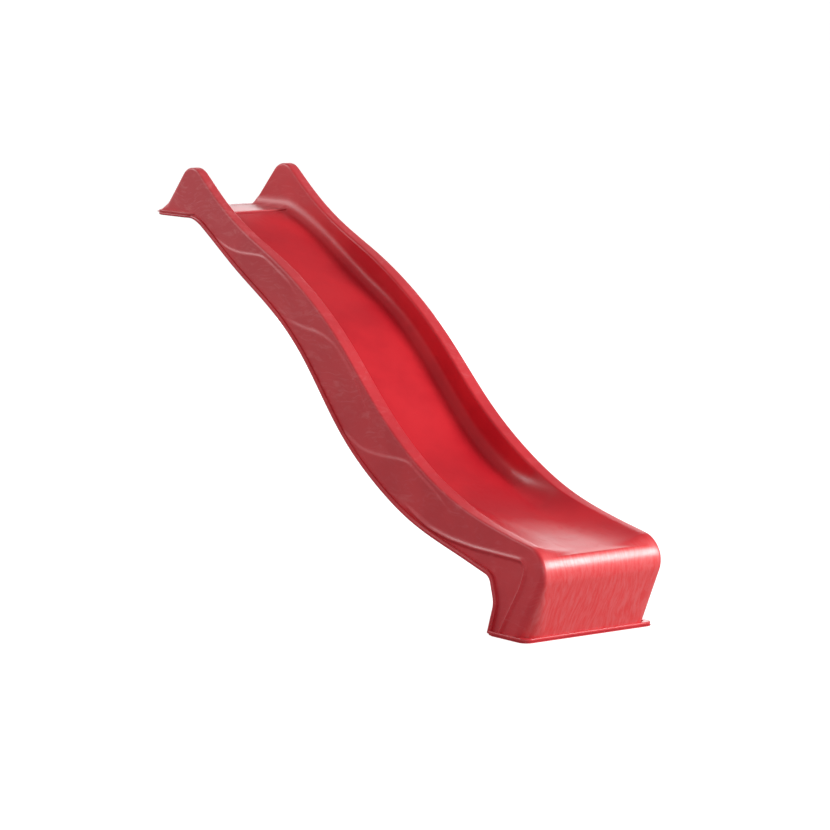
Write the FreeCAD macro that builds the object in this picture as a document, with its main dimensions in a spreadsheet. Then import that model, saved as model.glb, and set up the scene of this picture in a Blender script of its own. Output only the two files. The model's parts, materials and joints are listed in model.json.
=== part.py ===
"""Wave slide of twin-sheet polyethylene, for a platform 1.2 m high.

X runs downhill, Y across and Z up, in millimetres. Along X the drawing starts at the front edge
of the platform; every sub-part is then moved so that the origin is on the ground, in the middle
of the slide's box.
"""
import FreeCAD, Part
import math
import os

from FreeCAD import Placement, Rotation, Vector

doc = FreeCAD.newDocument("wave_slide")
sheet = doc.addObject("Spreadsheet::Sheet", "dimensions")

DIMENSIONS = {
    # overall
    "platform_height": 1200,
    "lip_rear": -222,
    "skin": 3.5,
    # lip, the two sheets pressed flat together
    "lip_thickness": 8,
    "lip_half_width": 232,
    "lip_front": 60,
    "lip_corner": 80,
    "lip_hole_dia": 9,
    "lip_hole_spacing": 300,
    "lip_hole_setback": 40,
    # side walls
    "half_width_top": 210,
    "half_width_foot": 238,
    "half_width_ground": 250,
    "draft_top_z": 1400,
    "draft_foot_z": 300,
    "edge_round": 6,
    # ears, the raised tips of the walls beside the lip
    "ear_rear": -182,
    "ear_tip_x": -2,
    "ear_tip_z": 1388,
    "ear_tip_round": 75,
    "ear_root_round": 20,
    "ear_root_rise": 6,
    "ear_root_run": 10,
    # chute, and the underside behind it
    "chute_start": 35,
    "underside_corner_x": 45,
    "underside_corner_round": 170,
    "underside_start_x": 88,
    "underside_start_z": 1174.2,
    "underside_end_x": 1600,
    "underside_end_z": 228,
    # nose, apron and foot
    "nose_z": 283,
    "nose_x": 2007,
    "nose_round": 85,
    "apron_base_x": 1900,
    "foot_rear_x": 1724,
    "foot_waist_x": 1754,
    "foot_waist_z": 104,
    "foot_waist_round": 70,
    "foot_shoulder_x": 1725,
    "foot_shoulder_z": 193,
    "foot_shoulder_round": 50,
    # flanges where the sheets are welded
    "bead_out": 7,
    "bead_depth": 12,
    "foot_flange_out": 12,
    "foot_flange_depth": 14,
    "foot_flange_corner": 30,
    "ledge_out": 40,
    "ledge_half_width": 190,
    "ledge_depth": 6,
    "ledge_corner": 10,
    "anchor_hole_dia": 12,
    "anchor_hole_spacing": 300,
    "anchor_hole_setback": 18,
    # cross channels pressed up from the under sheet
    "channel_first": 150,
    "channel_pitch": 165,
    "channel_count": 9,
    "channel_mouth": 46,
    "channel_crown": 26,
    "channel_end_gap": 38,
    # plugs in the blow holes of the under sheet
    "plug_stem_dia": 18,
    "plug_head_dia": 28,
    "plug_head_depth": 3,
    "plug_stem_depth": 9,
    "plug_bore_dia": 11,
    "plug_first": 398,
    "plug_pitch": 990,
}

# Table of offsets: the heights of the three long lines, the width of the rim and the radius
# between bed and wall, at stations along the chute.
STATIONS = [100, 300, 500, 700, 900, 1100, 1300, 1500, 1700, 1900]
OFFSETS = {
    "rim": [1307, 1178, 1087, 978, 829, 645, 502, 402, 342, 302],
    "bed": [1190, 1096, 988, 879, 712, 527, 411, 348, 307, 279],
    "edge": [1167, 1043, 931, 780, 571, 419, 317, 255],
    "rim_width": [40, 41, 45, 48, 49, 51, 50, 46, 35, 30],
    "bed_round": [38, 38, 38, 38, 40, 42, 50, 120, 350, 560],
}


def fill_sheet():
    """Write the driving dimensions and the table of offsets to the sheet."""
    row = 1
    for name, value in DIMENSIONS.items():
        sheet.set(f"A{row}", name)
        sheet.set(f"B{row}", str(value))
        sheet.setAlias(f"B{row}", name)
        row += 1
    for line, values in OFFSETS.items():
        for station, value in zip(STATIONS, values):
            alias = f"{line}_at_{station}"
            sheet.set(f"A{row}", alias)
            sheet.set(f"B{row}", str(value))
            sheet.setAlias(f"B{row}", alias)
            row += 1
    doc.recompute()


def size(name):
    """Return one dimension from the sheet."""
    return float(sheet.get(name))


def offsets(line):
    """Return the (x, value) pairs of one column of the table of offsets."""
    return [(station, size(f"{line}_at_{station}")) for station, _ in zip(STATIONS, OFFSETS[line])]


def smooth_line(points, start_slope, end_slope):
    """Return a spline z(x) whose parameter is x itself, with the given slopes at its ends."""
    line = Part.BSplineCurve()
    line.interpolate(
        Points=[Vector(x, 0, z) for x, z in points],
        Parameters=[x for x, _ in points],
        InitialTangent=Vector(1, 0, start_slope),
        FinalTangent=Vector(1, 0, end_slope),
        Scale=False,
    )
    return line


def slope_between(start, end):
    """Return the slope of the straight run between two points of the side view."""
    return (end.z - start.z) / (end.x - start.x)


def inward(direction):
    """Return the unit normal to the right of a direction: the outline runs clockwise."""
    return Vector(direction.z, 0, -direction.x).normalize()


def inset_line(line, xs, inset, heading):
    """Return a spline moved inwards by inset; heading is 1 where the outline runs downhill."""
    points = []
    for x in xs:
        moved = line.value(x) + inward(line.tangent(x)[0] * heading) * inset
        points.append((moved.x, moved.z))
    ends = [line.tangent(x)[0] for x in (xs[0], xs[-1])]
    return smooth_line(points, ends[0].z / ends[0].x, ends[1].z / ends[1].x)


def inset_path(points, radii, inset):
    """Return edges along a polyline moved inwards, its inner corners rounded by their radii."""
    headings = [(end - start).normalize() for start, end in zip(points, points[1:])]
    start = points[0] + inward(headings[0]) * inset
    last = points[-1] + inward(headings[-1]) * inset
    edges = []
    for corner, before, after, radius in zip(points[1:], headings, headings[1:], radii):
        shift = inward(before) + inward(after)
        corner = corner + shift * (inset / (1 + inward(before).dot(inward(after))))
        if radius == 0:
            edges.append(Part.makeLine(start, corner))
            start = corner
            continue
        turns_inward = before.x * after.z - before.z * after.x < 0
        bend = radius - inset if turns_inward else radius + inset
        half_turn = before.getAngle(after) / 2
        tangent = bend * math.tan(half_turn)
        arc_start, arc_end = corner - before * tangent, corner + after * tangent
        middle = corner + (after - before).normalize() * (bend / math.cos(half_turn) - bend)
        edges.append(Part.makeLine(start, arc_start))
        edges.append(Part.Arc(arc_start, middle, arc_end).toShape())
        start = arc_end
    edges.append(Part.makeLine(start, last))
    return edges


def point(x_name, z_name):
    """Return a point of the side view from two dimensions."""
    return Vector(size(x_name), 0, size(z_name))


fill_sheet()

SKIN = size("skin")
PLATFORM = size("platform_height")
LIP_TOP = PLATFORM + size("lip_thickness")
WIDE = 400.0
FAR_X = 2300.0
CLEAR_Z = 1600.0
DRILL_REACH = 30.0
BELOW_Z = -60.0
DISH_OVERRUN = 8.0
CHANNEL_ROOT = 12.0
BED_START_SLOPE = -0.12
BED_END = (2100.0, 255.0)
BED_END_SLOPE = -0.11

EAR_TIP = point("ear_tip_x", "ear_tip_z")
NOSE = point("nose_x", "nose_z")
SHOULDER = point("foot_shoulder_x", "foot_shoulder_z")
UNDER_CORNER = Vector(size("underside_corner_x"), 0, PLATFORM)
UNDER_START = point("underside_start_x", "underside_start_z")
UNDER_END = point("underside_end_x", "underside_end_z")
RIM_START = Vector(STATIONS[0], 0, size(f"rim_at_{STATIONS[0]}"))
RIM_END = Vector(STATIONS[-1], 0, size(f"rim_at_{STATIONS[-1]}"))

APRON_BASE = Vector(size("apron_base_x"), 0, 0)


def nose_front():
    """Return the x of the foremost point of the nose's arc, which touches rim and apron."""
    before = (NOSE - RIM_END).normalize()
    after = (APRON_BASE - NOSE).normalize()
    half_turn = before.getAngle(after) / 2
    centre = NOSE + (after - before).normalize() * (size("nose_round") / math.cos(half_turn))
    return centre.x + size("nose_round")


MID_X = (size("lip_rear") + nose_front()) / 2

rim_line = smooth_line(offsets("rim"), slope_between(EAR_TIP, RIM_START), slope_between(RIM_END, NOSE))
edge_line = smooth_line(
    [(UNDER_START.x, UNDER_START.z)] + offsets("edge") + [(UNDER_END.x, UNDER_END.z)],
    slope_between(UNDER_CORNER, UNDER_START),
    slope_between(UNDER_END, SHOULDER),
)
bed_line = smooth_line(
    [(size("chute_start"), LIP_TOP)] + offsets("bed") + [BED_END], BED_START_SLOPE, BED_END_SLOPE
)


def side_face(inset):
    """Return the outline of the slide seen from the side, moved inwards by inset, lip left out."""
    foot = inset_path(
        [
            RIM_END,
            NOSE,
            APRON_BASE,
            Vector(size("foot_rear_x"), 0, 0),
            point("foot_waist_x", "foot_waist_z"),
            SHOULDER,
            UNDER_END,
        ],
        [size("nose_round"), 0, 0, size("foot_waist_round"), size("foot_shoulder_round")],
        inset,
    )
    root = Vector(size("ear_rear"), 0, PLATFORM + size("ear_root_rise"))
    if inset > 0:
        # the hollow ends in a corner under the rear edge of the ear
        corner_x = root.x - size("ear_root_rise") / slope_between(root, EAR_TIP)
        turns = [Vector(corner_x, 0, PLATFORM), EAR_TIP]
        radii = [0, size("ear_tip_round")]
    else:
        # the ear flows out on to the lip
        heel_x = root.x - size("ear_root_run")
        turns = [Vector(heel_x, 0, PLATFORM), Vector(heel_x, 0, root.z), root, EAR_TIP]
        radii = [0, 0, size("ear_root_round"), size("ear_tip_round")]
    ear = inset_path(
        [UNDER_START, UNDER_CORNER] + turns + [RIM_START], [size("underside_corner_round")] + radii, inset
    )
    under_xs = [UNDER_START.x] + STATIONS[: len(OFFSETS["edge"])] + [UNDER_END.x]
    rim = inset_line(rim_line, STATIONS, inset, 1)
    under = inset_line(edge_line, under_xs, inset, -1)
    edges = foot + ear + [rim.toShape(), under.toShape()]
    return Part.Face(Part.Wire(Part.__sortEdges__(edges)))


def side_solid(face):
    """Extrude a face of the side view right across the slide."""
    moved = face.copy()
    moved.translate(Vector(0, -WIDE, 0))
    return moved.extrude(Vector(0, 2 * WIDE, 0))


def half_width(z):
    """Return the outer half width of the side walls at height z; they draft inwards upwards."""
    top, foot = size("half_width_top"), size("half_width_foot")
    share = (z - size("draft_foot_z")) / (size("draft_top_z") - size("draft_foot_z"))
    return foot + (top - foot) * share


def rectangle_wire(x0, x1, half, z):
    """Return a rectangle about the X axis, at height z."""
    corners = [Vector(x0, -half, z), Vector(x1, -half, z), Vector(x1, half, z), Vector(x0, half, z)]
    return Part.makePolygon(corners + corners[:1])


def plan_prism(grow):
    """Return the drafted space between the outer faces of the side walls, grown each side."""
    foot_z = size("draft_foot_z")
    spread = (size("half_width_ground") - size("half_width_foot")) / foot_z
    levels = [
        (BELOW_Z, size("half_width_ground") - spread * BELOW_Z),
        (foot_z, half_width(foot_z)),
        (CLEAR_Z, half_width(CLEAR_Z)),
    ]
    wires = [rectangle_wire(-WIDE, FAR_X, half + grow, z) for z, half in levels]
    return Part.makeLoft(wires, True, True)


def linear_at(pairs, x):
    """Return the value at x of straight runs through (x, value) pairs, flat past both ends."""
    if x <= pairs[0][0]:
        return pairs[0][1]
    for (x0, v0), (x1, v1) in zip(pairs, pairs[1:]):
        if x <= x1:
            return v0 + (v1 - v0) * (x - x0) / (x1 - x0)
    return pairs[-1][1]


def bed_height(x):
    """Return the height of the middle of the chute's bed, which starts level with the lip."""
    if x <= size("chute_start"):
        return LIP_TOP
    return bed_line.value(x).z


def rim_height(x):
    """Return the height of the rim, held level past both ends of its line."""
    return rim_line.value(min(max(x, RIM_START.x), RIM_END.x)).z


def chute_section(x, grow):
    """Return the chute's cross-section at x: bed, corner arcs and walls, open above the rim."""
    slope = (bed_height(x + 1) - bed_height(x - 1)) / 2
    drop = grow * (math.sqrt(1 + slope * slope) - 1)
    bed, rim = bed_height(x) - drop, rim_height(x) - drop
    inner = half_width(rim_height(x)) - linear_at(offsets("rim_width"), x)
    radius = linear_at(offsets("bed_round"), x)
    depth = rim - bed
    if radius <= depth:
        centre_y = inner - radius
        swing = math.pi / 2
    else:
        # a dished section: the arc leaves the bed and runs out a little above the rim
        centre_y = inner - math.sqrt(radius**2 - (radius - depth) ** 2)
        swing = math.acos((radius - depth - DISH_OVERRUN) / (radius + grow))
    reach = radius + grow

    def on_arc(angle, side):
        return Vector(x, side * (centre_y + reach * math.sin(angle)), bed + radius - reach * math.cos(angle))

    right = [on_arc(angle, 1) for angle in (0, swing / 2, swing)]
    left = [on_arc(angle, -1) for angle in (0, swing / 2, swing)]
    top_right = Vector(x, right[2].y, CLEAR_Z)
    top_left = Vector(x, left[2].y, CLEAR_Z)
    return Part.Wire([
        Part.makeLine(left[0], right[0]),
        Part.Arc(*right).toShape(),
        Part.makeLine(right[2], top_right),
        Part.makeLine(top_right, top_left),
        Part.makeLine(top_left, left[2]),
        Part.Arc(left[2], left[1], left[0]).toShape(),
    ])


def chute_space(grow):
    """Return the solid space of the chute, its bed and walls pushed outwards by grow."""
    xs = [-300, -200, -100, -30, 20, 60] + list(range(100, 1300, 100)) + list(range(1300, 2101, 50))
    return Part.makeLoft([chute_section(x, grow) for x in xs], True, False)


def parting_space():
    """Return the space below the parting surface, where the skin belongs to the under sheet."""
    lip = PLATFORM + SKIN
    foot_top = (UNDER_END.z + bed_height(UNDER_END.x)) / 2
    apron_x = size("apron_base_x") - size("foot_flange_out")
    outline = [Vector(-WIDE, 0, lip), Vector(UNDER_CORNER.x, 0, lip)]
    for x in STATIONS[: len(OFFSETS["edge"])]:
        outline.append(Vector(x, 0, (bed_height(x) + edge_line.value(x).z) / 2))
    outline += [
        Vector(UNDER_END.x, 0, foot_top),
        Vector(apron_x, 0, SHOULDER.z),
        Vector(apron_x, 0, SKIN),
        Vector(FAR_X, 0, SKIN),
        Vector(FAR_X, 0, BELOW_Z),
        Vector(-WIDE, 0, BELOW_Z),
    ]
    return side_solid(Part.Face(Part.makePolygon(outline + outline[:1])))


def upper_edges(solid, parting):
    """Return the long outer edges of the ears, rims, nose and apron, all above the parting."""
    found = []
    for edge in solid.Edges:
        normals = [abs(face.normalAt(0, 0).y) for face in solid.ancestorsOfType(edge, Part.Face)]
        middle = edge.valueAt((edge.FirstParameter + edge.LastParameter) / 2)
        joins_side = max(normals) > 0.9 > min(normals)
        on_outer_wall = abs(abs(middle.y) - half_width(middle.z)) < 2 * SKIN
        if joins_side and on_outer_wall and middle.x > size("ear_rear"):
            if not parting.isInside(middle, 1, True):
                found.append(edge)
    return found


def cross_channel(x, mouth, crown, end_gap, height):
    """Return the solid of one cross channel: a tapered ridge square to the edge line at x."""
    foot = edge_line.value(x)
    along = edge_line.tangent(x)[0]
    up = Vector(-along.z, 0, along.x)
    corners = [
        foot - along * (mouth / 2) - up * CHANNEL_ROOT,
        foot + along * (mouth / 2) - up * CHANNEL_ROOT,
        foot + along * (crown / 2) + up * height,
        foot - along * (crown / 2) + up * height,
    ]
    face = Part.Face(Part.makePolygon(corners + corners[:1]))
    half = half_width(foot.z) - end_gap
    face.translate(Vector(0, -half, 0))
    return face.extrude(Vector(0, 2 * half, 0))


def add_shape(name, shape):
    """Put a shape in the document as a feature."""
    feature = doc.addObject("Part::Feature", name)
    feature.Shape = shape
    return feature


def add_plate(name, x0, x1, half, z0, z1, corner):
    """Add a plate with rounded corners, its box bound to the sheet by expressions."""
    box = doc.addObject("Part::Box", name + "_box")
    box.setExpression("Length", f"({x1}) - ({x0})")
    box.setExpression("Width", f"2 * ({half})")
    box.setExpression("Height", f"({z1}) - ({z0})")
    box.setExpression("Placement.Base.x", x0)
    box.setExpression("Placement.Base.y", f"-({half})")
    box.setExpression("Placement.Base.z", z0)
    doc.recompute()
    plate = doc.addObject("Part::Fillet", name)
    plate.Base = box
    upright = [
        (index + 1, corner, corner)
        for index, edge in enumerate(box.Shape.Edges)
        if abs(edge.tangentAt(edge.FirstParameter).z) > 0.9
    ]
    plate.Edges = upright
    return plate


def add_pair_of_holes(name, diameter, x, spacing, z):
    """Add two upright drills, one each side, bound to the sheet by expressions."""
    drills = []
    for side, tag in ((-1, "near"), (1, "far")):
        drill = doc.addObject("Part::Cylinder", f"{name}_{tag}")
        drill.setExpression("Radius", f"{diameter} / 2")
        drill.Height = 2 * DRILL_REACH
        drill.setExpression("Placement.Base.x", x)
        drill.setExpression("Placement.Base.y", f"{side} * {spacing} / 2")
        drill.setExpression("Placement.Base.z", f"{z} - {DRILL_REACH}")
        drills.append(drill)
    return drills


def add_fused(name, pieces):
    """Fuse features of the document into one."""
    fused = doc.addObject("Part::MultiFuse", name)
    fused.Shapes = pieces
    fused.Refine = False
    return fused


def add_cut(name, base, tools):
    """Cut tools out of a feature."""
    for number, tool in enumerate(tools):
        cut = doc.addObject("Part::Cut", name if tool is tools[-1] else f"{name}_step{number}")
        cut.Base = base
        cut.Tool = tool
        cut.Refine = False
        base = cut
    return base


def add_plug(number, x):
    """Add one press-in plug: a headed stem with a blind bore, its head outside the under sheet."""
    head = doc.addObject("Part::Cylinder", f"plug{number}_head")
    head.setExpression("Radius", "dimensions.plug_head_dia / 2")
    head.setExpression("Height", "dimensions.plug_head_depth")
    head.setExpression("Placement.Base.z", "-dimensions.plug_head_depth")
    stem = doc.addObject("Part::Cylinder", f"plug{number}_stem")
    stem.setExpression("Radius", "dimensions.plug_stem_dia / 2")
    stem.setExpression("Height", "dimensions.plug_stem_depth")
    bore = doc.addObject("Part::Cylinder", f"plug{number}_bore")
    bore.setExpression("Radius", "dimensions.plug_bore_dia / 2")
    bore.setExpression("Height", "dimensions.plug_stem_depth")
    bore.setExpression("Placement.Base.z", "dimensions.plug_head_depth / 2")
    plug = add_cut(f"plug{number}", add_fused(f"plug{number}_turned", [head, stem]), [bore])
    plug.Placement = frame_on_edge(x)
    return plug


def frame_on_edge(x):
    """Return the placement at the edge line at x, its Z square to the sheet and pointing inside."""
    along = edge_line.tangent(x)[0]
    tilt = -math.degrees(math.atan2(along.z, along.x))
    return Placement(edge_line.value(x), Rotation(Vector(0, 1, 0), tilt))


def lip_space():
    """Return the box of the lip, where the two sheets are pressed together with no hollow."""
    low = Vector(-WIDE, -WIDE, PLATFORM - size("lip_thickness"))
    length = WIDE + size("lip_front")
    return Part.makeBox(length, 2 * WIDE, 2 * size("lip_thickness"), low)


def cross_channels(hollow):
    """Return the ridges of the cross channels inside the hollow, and the spaces they open on."""
    mouth, crown, gap = size("channel_mouth"), size("channel_crown"), size("channel_end_gap")
    crown_clear = chute_space(2 * SKIN)
    ridges, mouths = [], []
    for number in range(int(size("channel_count"))):
        x = size("channel_first") + number * size("channel_pitch")
        height = bed_height(x) - edge_line.value(x).z
        ridge = cross_channel(x, mouth + 2 * SKIN, crown + 2 * SKIN, gap, height + SKIN)
        ridges += hollow.common(ridge).Solids
        mouths.append(cross_channel(x, mouth, crown, gap + SKIN, height).cut(crown_clear))
    return ridges, mouths


def make_sheets():
    """Shape the two skins and the bead between them, and return them by name."""
    block = side_solid(side_face(0))
    block_in = side_solid(side_face(SKIN))
    block_bead = side_solid(side_face(size("bead_depth")))
    walls, walls_in, walls_out = plan_prism(0), plan_prism(-SKIN), plan_prism(size("bead_out"))
    parting = parting_space()

    outer = block.common(walls).cut(chute_space(0)).Solids[0]
    rounded = outer.makeFillet(size("edge_round"), upper_edges(outer, parting))
    inner_space = block_in.common(walls_in)
    hollow = inner_space.cut(chute_space(SKIN)).cut(lip_space())
    band = block.cut(block_in).common(parting)
    ridges, mouths = cross_channels(hollow)
    return {
        "upper_skin": rounded.cut(hollow).cut(band),
        "upper_bead": block_in.cut(block_bead).common(parting).common(walls_out).cut(walls_in),
        "under_skin": band.common(walls_out).fuse(ridges).cut(mouths),
        "inner_space": inner_space,
    }


def build():
    """Build the three sub-parts and return them."""
    sheets = {name: add_shape(name, shape) for name, shape in make_sheets().items()}

    lip = ("dimensions.lip_rear", "dimensions.lip_front", "dimensions.lip_half_width")
    lip_mid = "dimensions.platform_height + dimensions.skin"
    lip_top = "dimensions.platform_height + dimensions.lip_thickness"
    lip_upper = add_plate("lip_upper", *lip, lip_mid, lip_top, size("lip_corner"))
    lip_under = add_plate("lip_under", *lip, "dimensions.platform_height", lip_mid, size("lip_corner"))

    foot_front = "dimensions.apron_base_x + dimensions.foot_flange_out"
    foot_side = "dimensions.half_width_ground + dimensions.foot_flange_out"
    corner = size("foot_flange_corner")
    flange_block = add_plate(
        "foot_flange_block",
        "dimensions.foot_rear_x + dimensions.skin",
        foot_front,
        foot_side,
        "dimensions.skin",
        "dimensions.foot_flange_depth",
        corner,
    )
    flange = add_cut("foot_flange", flange_block, [sheets["inner_space"]])
    sole = add_plate(
        "sole",
        "dimensions.foot_rear_x - dimensions.skin",
        foot_front,
        foot_side,
        "0 * dimensions.skin",
        "dimensions.skin",
        corner,
    )
    ledge = add_plate(
        "anchor_ledge",
        "dimensions.foot_rear_x - dimensions.ledge_out",
        "dimensions.foot_rear_x + dimensions.foot_flange_out",
        "dimensions.ledge_half_width",
        "0 * dimensions.skin",
        "dimensions.ledge_depth",
        size("ledge_corner"),
    )

    lip_holes = ("dimensions.lip_hole_dia", "dimensions.lip_rear + dimensions.lip_hole_setback",
                 "dimensions.lip_hole_spacing", "dimensions.platform_height")
    shell = add_cut(
        "chute_shell",
        add_fused("chute_shell_raw", [sheets["upper_skin"], sheets["upper_bead"], lip_upper, flange]),
        add_pair_of_holes("lip_drill_upper", *lip_holes),
    )
    anchor_holes = add_pair_of_holes(
        "anchor_drill", "dimensions.anchor_hole_dia",
        "dimensions.foot_rear_x - dimensions.anchor_hole_setback", "dimensions.anchor_hole_spacing", "0",
    )
    plug_xs = [size("plug_first") + number * size("plug_pitch") for number in range(2)]
    plug_bores = []
    for number, x in enumerate(plug_xs):
        drill = doc.addObject("Part::Cylinder", f"plug_hole{number}")
        drill.setExpression("Radius", "dimensions.plug_stem_dia / 2")
        drill.Height = 2 * CHANNEL_ROOT
        drill.Placement = frame_on_edge(x).multiply(Placement(Vector(0, 0, -CHANNEL_ROOT), Rotation()))
        plug_bores.append(drill)
    under = add_cut(
        "under_shell",
        add_fused("under_shell_raw", [sheets["under_skin"], lip_under, sole, ledge]),
        add_pair_of_holes("lip_drill_under", *lip_holes) + anchor_holes + plug_bores,
    )
    plugs = doc.addObject("Part::Compound", "vent_plugs")
    plugs.Links = [add_plug(number, x) for number, x in enumerate(plug_xs)]
    doc.recompute()
    return [shell, under, plugs]


def export(parts):
    """Move each sub-part to the row's origin, check it and write its file."""
    for part in parts:
        part.Label = part.Name
        part.Placement = Placement(Vector(-MID_X, 0, 0), Rotation())
    doc.recompute()
    for item in doc.Objects:
        if "Invalid" in item.State or "Error" in item.State:
            raise RuntimeError(f"{item.Name} failed: {item.State}")
    for part in parts:
        if part.Shape.isNull() or not part.Shape.isValid():
            raise RuntimeError(f"{part.Label} has no valid shape")
    os.makedirs("parts", exist_ok=True)
    for part in parts:
        part.Shape.exportStep(f"parts/{part.Label}.step")
        box = part.Shape.BoundBox
        print(part.Label, len(part.Shape.Solids), "solids", round(part.Shape.Volume / 1000), "cm3", box)


export(build())
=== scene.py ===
"""A wave slide in red polyethylene: a hollow chute with raised sides, a flat lip and a wide foot.

Side-view sizes are in metres, with x counted downhill from the front edge of the platform. They are
moved into the frame's own x once the CAD model is loaded.
"""
import json
import logging
import math
from collections.abc import Callable
from dataclasses import dataclass
from enum import Enum

import bpy
import numpy as np
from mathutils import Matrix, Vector


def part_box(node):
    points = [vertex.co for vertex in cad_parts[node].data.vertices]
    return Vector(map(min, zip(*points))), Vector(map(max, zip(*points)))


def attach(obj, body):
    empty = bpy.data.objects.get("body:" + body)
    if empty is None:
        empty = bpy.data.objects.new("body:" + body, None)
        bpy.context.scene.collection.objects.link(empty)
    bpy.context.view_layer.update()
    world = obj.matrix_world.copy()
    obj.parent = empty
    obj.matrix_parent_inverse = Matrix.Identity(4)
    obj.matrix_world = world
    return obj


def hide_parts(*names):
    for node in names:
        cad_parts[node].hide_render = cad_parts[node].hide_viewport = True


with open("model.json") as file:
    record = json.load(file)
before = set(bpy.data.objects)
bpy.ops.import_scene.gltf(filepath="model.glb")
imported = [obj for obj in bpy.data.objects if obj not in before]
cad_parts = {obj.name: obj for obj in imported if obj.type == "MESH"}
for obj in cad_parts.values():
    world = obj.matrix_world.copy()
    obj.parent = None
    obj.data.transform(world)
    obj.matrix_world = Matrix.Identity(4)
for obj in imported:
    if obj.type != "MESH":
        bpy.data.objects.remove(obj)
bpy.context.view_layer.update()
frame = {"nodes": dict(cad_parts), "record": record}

LOG = logging.getLogger("wave_slide")
LIP_REAR = -0.222
LIP_TOP = 1.208
LIP_BOTTOM = 1.2
SOLE_TOP = 0.0035
SKIN = 0.0035
SAMPLE = 0.002
HAZE = "haze"
GRAIN = "grain"

Point = tuple[float, float]
Place = tuple[float, float, float]
Colour = tuple[float, float, float, float]
Array = np.ndarray


class Side(Enum):
    """The two sides of the slide, by the sign of y."""

    LEFT = 1
    RIGHT = -1


class Band(Enum):
    """The bands of the chute's half section, from the outer wall to the middle of the bed."""

    SKIRT = 3
    OUTER_EDGE = 8
    RIM = 4
    INNER_EDGE = 6
    WALL = 17
    BED = 9


def smoothstep(low: float, high: float, value: Array) -> Array:
    """Return a smooth rise from 0 at low to 1 at high."""
    share = np.clip((value - low) / (high - low), 0.0, 1.0)
    return share * share * (3.0 - 2.0 * share)


def rounded(points: list[Point], radii: list[float], step: float = SAMPLE) -> Array:
    """Sample a polyline of the side view whose inner corners are rounded.

    Args:
        points: The polyline's corners, ends included.
        radii: One radius for each inner corner, 0 for a sharp one.
        step: The spacing of the samples.

    Returns:
        The samples as rows of x and z.
    """
    corners = [np.array(point, float) for point in points]
    knots = [corners[0]]
    for before, corner, after, radius in zip(corners, corners[1:], corners[2:], radii):
        back = (before - corner) / np.linalg.norm(before - corner)
        ahead = (after - corner) / np.linalg.norm(after - corner)
        half = math.acos(float(np.clip(back @ ahead, -1, 1))) / 2
        centre = corner + (back + ahead) / np.linalg.norm(back + ahead) * radius / math.sin(half)
        first = corner + back * radius / math.tan(half)
        last = corner + ahead * radius / math.tan(half)
        start = math.atan2(*(first - centre)[::-1])
        turn = (math.atan2(*(last - centre)[::-1]) - start + math.pi) % math.tau - math.pi
        count = max(2, int(abs(turn) * radius / step))
        for share in np.linspace(0, 1, count):
            angle = start + turn * share
            knots.append(centre + radius * np.array([math.cos(angle), math.sin(angle)]))
    knots.append(corners[-1])
    return resample(np.array(knots), step)


def resample(path: Array, step: float | Array) -> Array:
    """Return points along a path, at a spacing that may change from sample to sample.

    Args:
        path: Rows of x and z.
        step: The spacing, one number or one for each row of the path.

    Returns:
        The new rows of x and z, ends included.
    """
    lengths = np.hypot(*np.diff(path, axis=0).T)
    keep = np.concatenate([[True], lengths > 1e-9])
    path = path[keep]
    lengths = np.hypot(*np.diff(path, axis=0).T)
    if isinstance(step, np.ndarray):
        step = step[keep]
        ticks = np.concatenate([[0], np.cumsum(lengths * 2 / (step[1:] + step[:-1]))])
    else:
        ticks = np.concatenate([[0], np.cumsum(lengths / step)])
    wanted = np.linspace(0, ticks[-1], int(round(ticks[-1])) + 1)
    return np.stack([np.interp(wanted, ticks, path[:, axis]) for axis in (0, 1)], axis=1)


def inward_normals(path: Array) -> Array:
    """Return unit normals to the right of a path, which is inwards on a clockwise outline.

    Args:
        path: Rows of x and z.

    Returns:
        One normal for each row.
    """
    along = np.gradient(path, axis=0)
    along /= np.linalg.norm(along, axis=1)[:, None]
    return np.stack([along[:, 1], -along[:, 0]], axis=1)


@dataclass(frozen=True)
class SmoothLine:
    """A smooth line z(x) through a table of offsets, with set slopes at its ends."""

    xs: tuple[float, ...]
    zs: tuple[float, ...]
    start_slope: float
    end_slope: float

    def slopes(self) -> Array:
        """Work out the slopes that keep the line's curvature continuous.

        Returns:
            One slope for each knot.
        """
        gaps, rises = np.diff(self.xs), np.diff(self.zs)
        count = len(self.xs)
        system, known = np.eye(count), np.zeros(count)
        known[0], known[-1] = self.start_slope, self.end_slope
        for row in range(1, count - 1):
            before, after = gaps[row - 1], gaps[row]
            system[row, row - 1 : row + 2] = after, 2 * (before + after), before
            known[row] = 3 * (after * rises[row - 1] / before + before * rises[row] / after)
        return np.linalg.solve(system, known)

    def at(self, x: Array | float) -> Array:
        """Return the line's height, run on straight past both ends.

        Args:
            x: One place or an array of them.

        Returns:
            The height at each.
        """
        xs, zs, slopes = np.array(self.xs), np.array(self.zs), self.slopes()
        x = np.asarray(x, float)
        held = np.clip(x, xs[0], xs[-1])
        cell = np.clip(np.searchsorted(xs, held) - 1, 0, len(xs) - 2)
        gap = xs[cell + 1] - xs[cell]
        share = (held - xs[cell]) / gap
        rest = 1 - share
        height = zs[cell] * rest * rest * (1 + 2 * share) + zs[cell + 1] * share * share * (1 + 2 * rest)
        height += gap * share * rest * (slopes[cell] * rest - slopes[cell + 1] * share)
        return height + np.where(x < xs[0], slopes[0], slopes[-1]) * (x - held)


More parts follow.
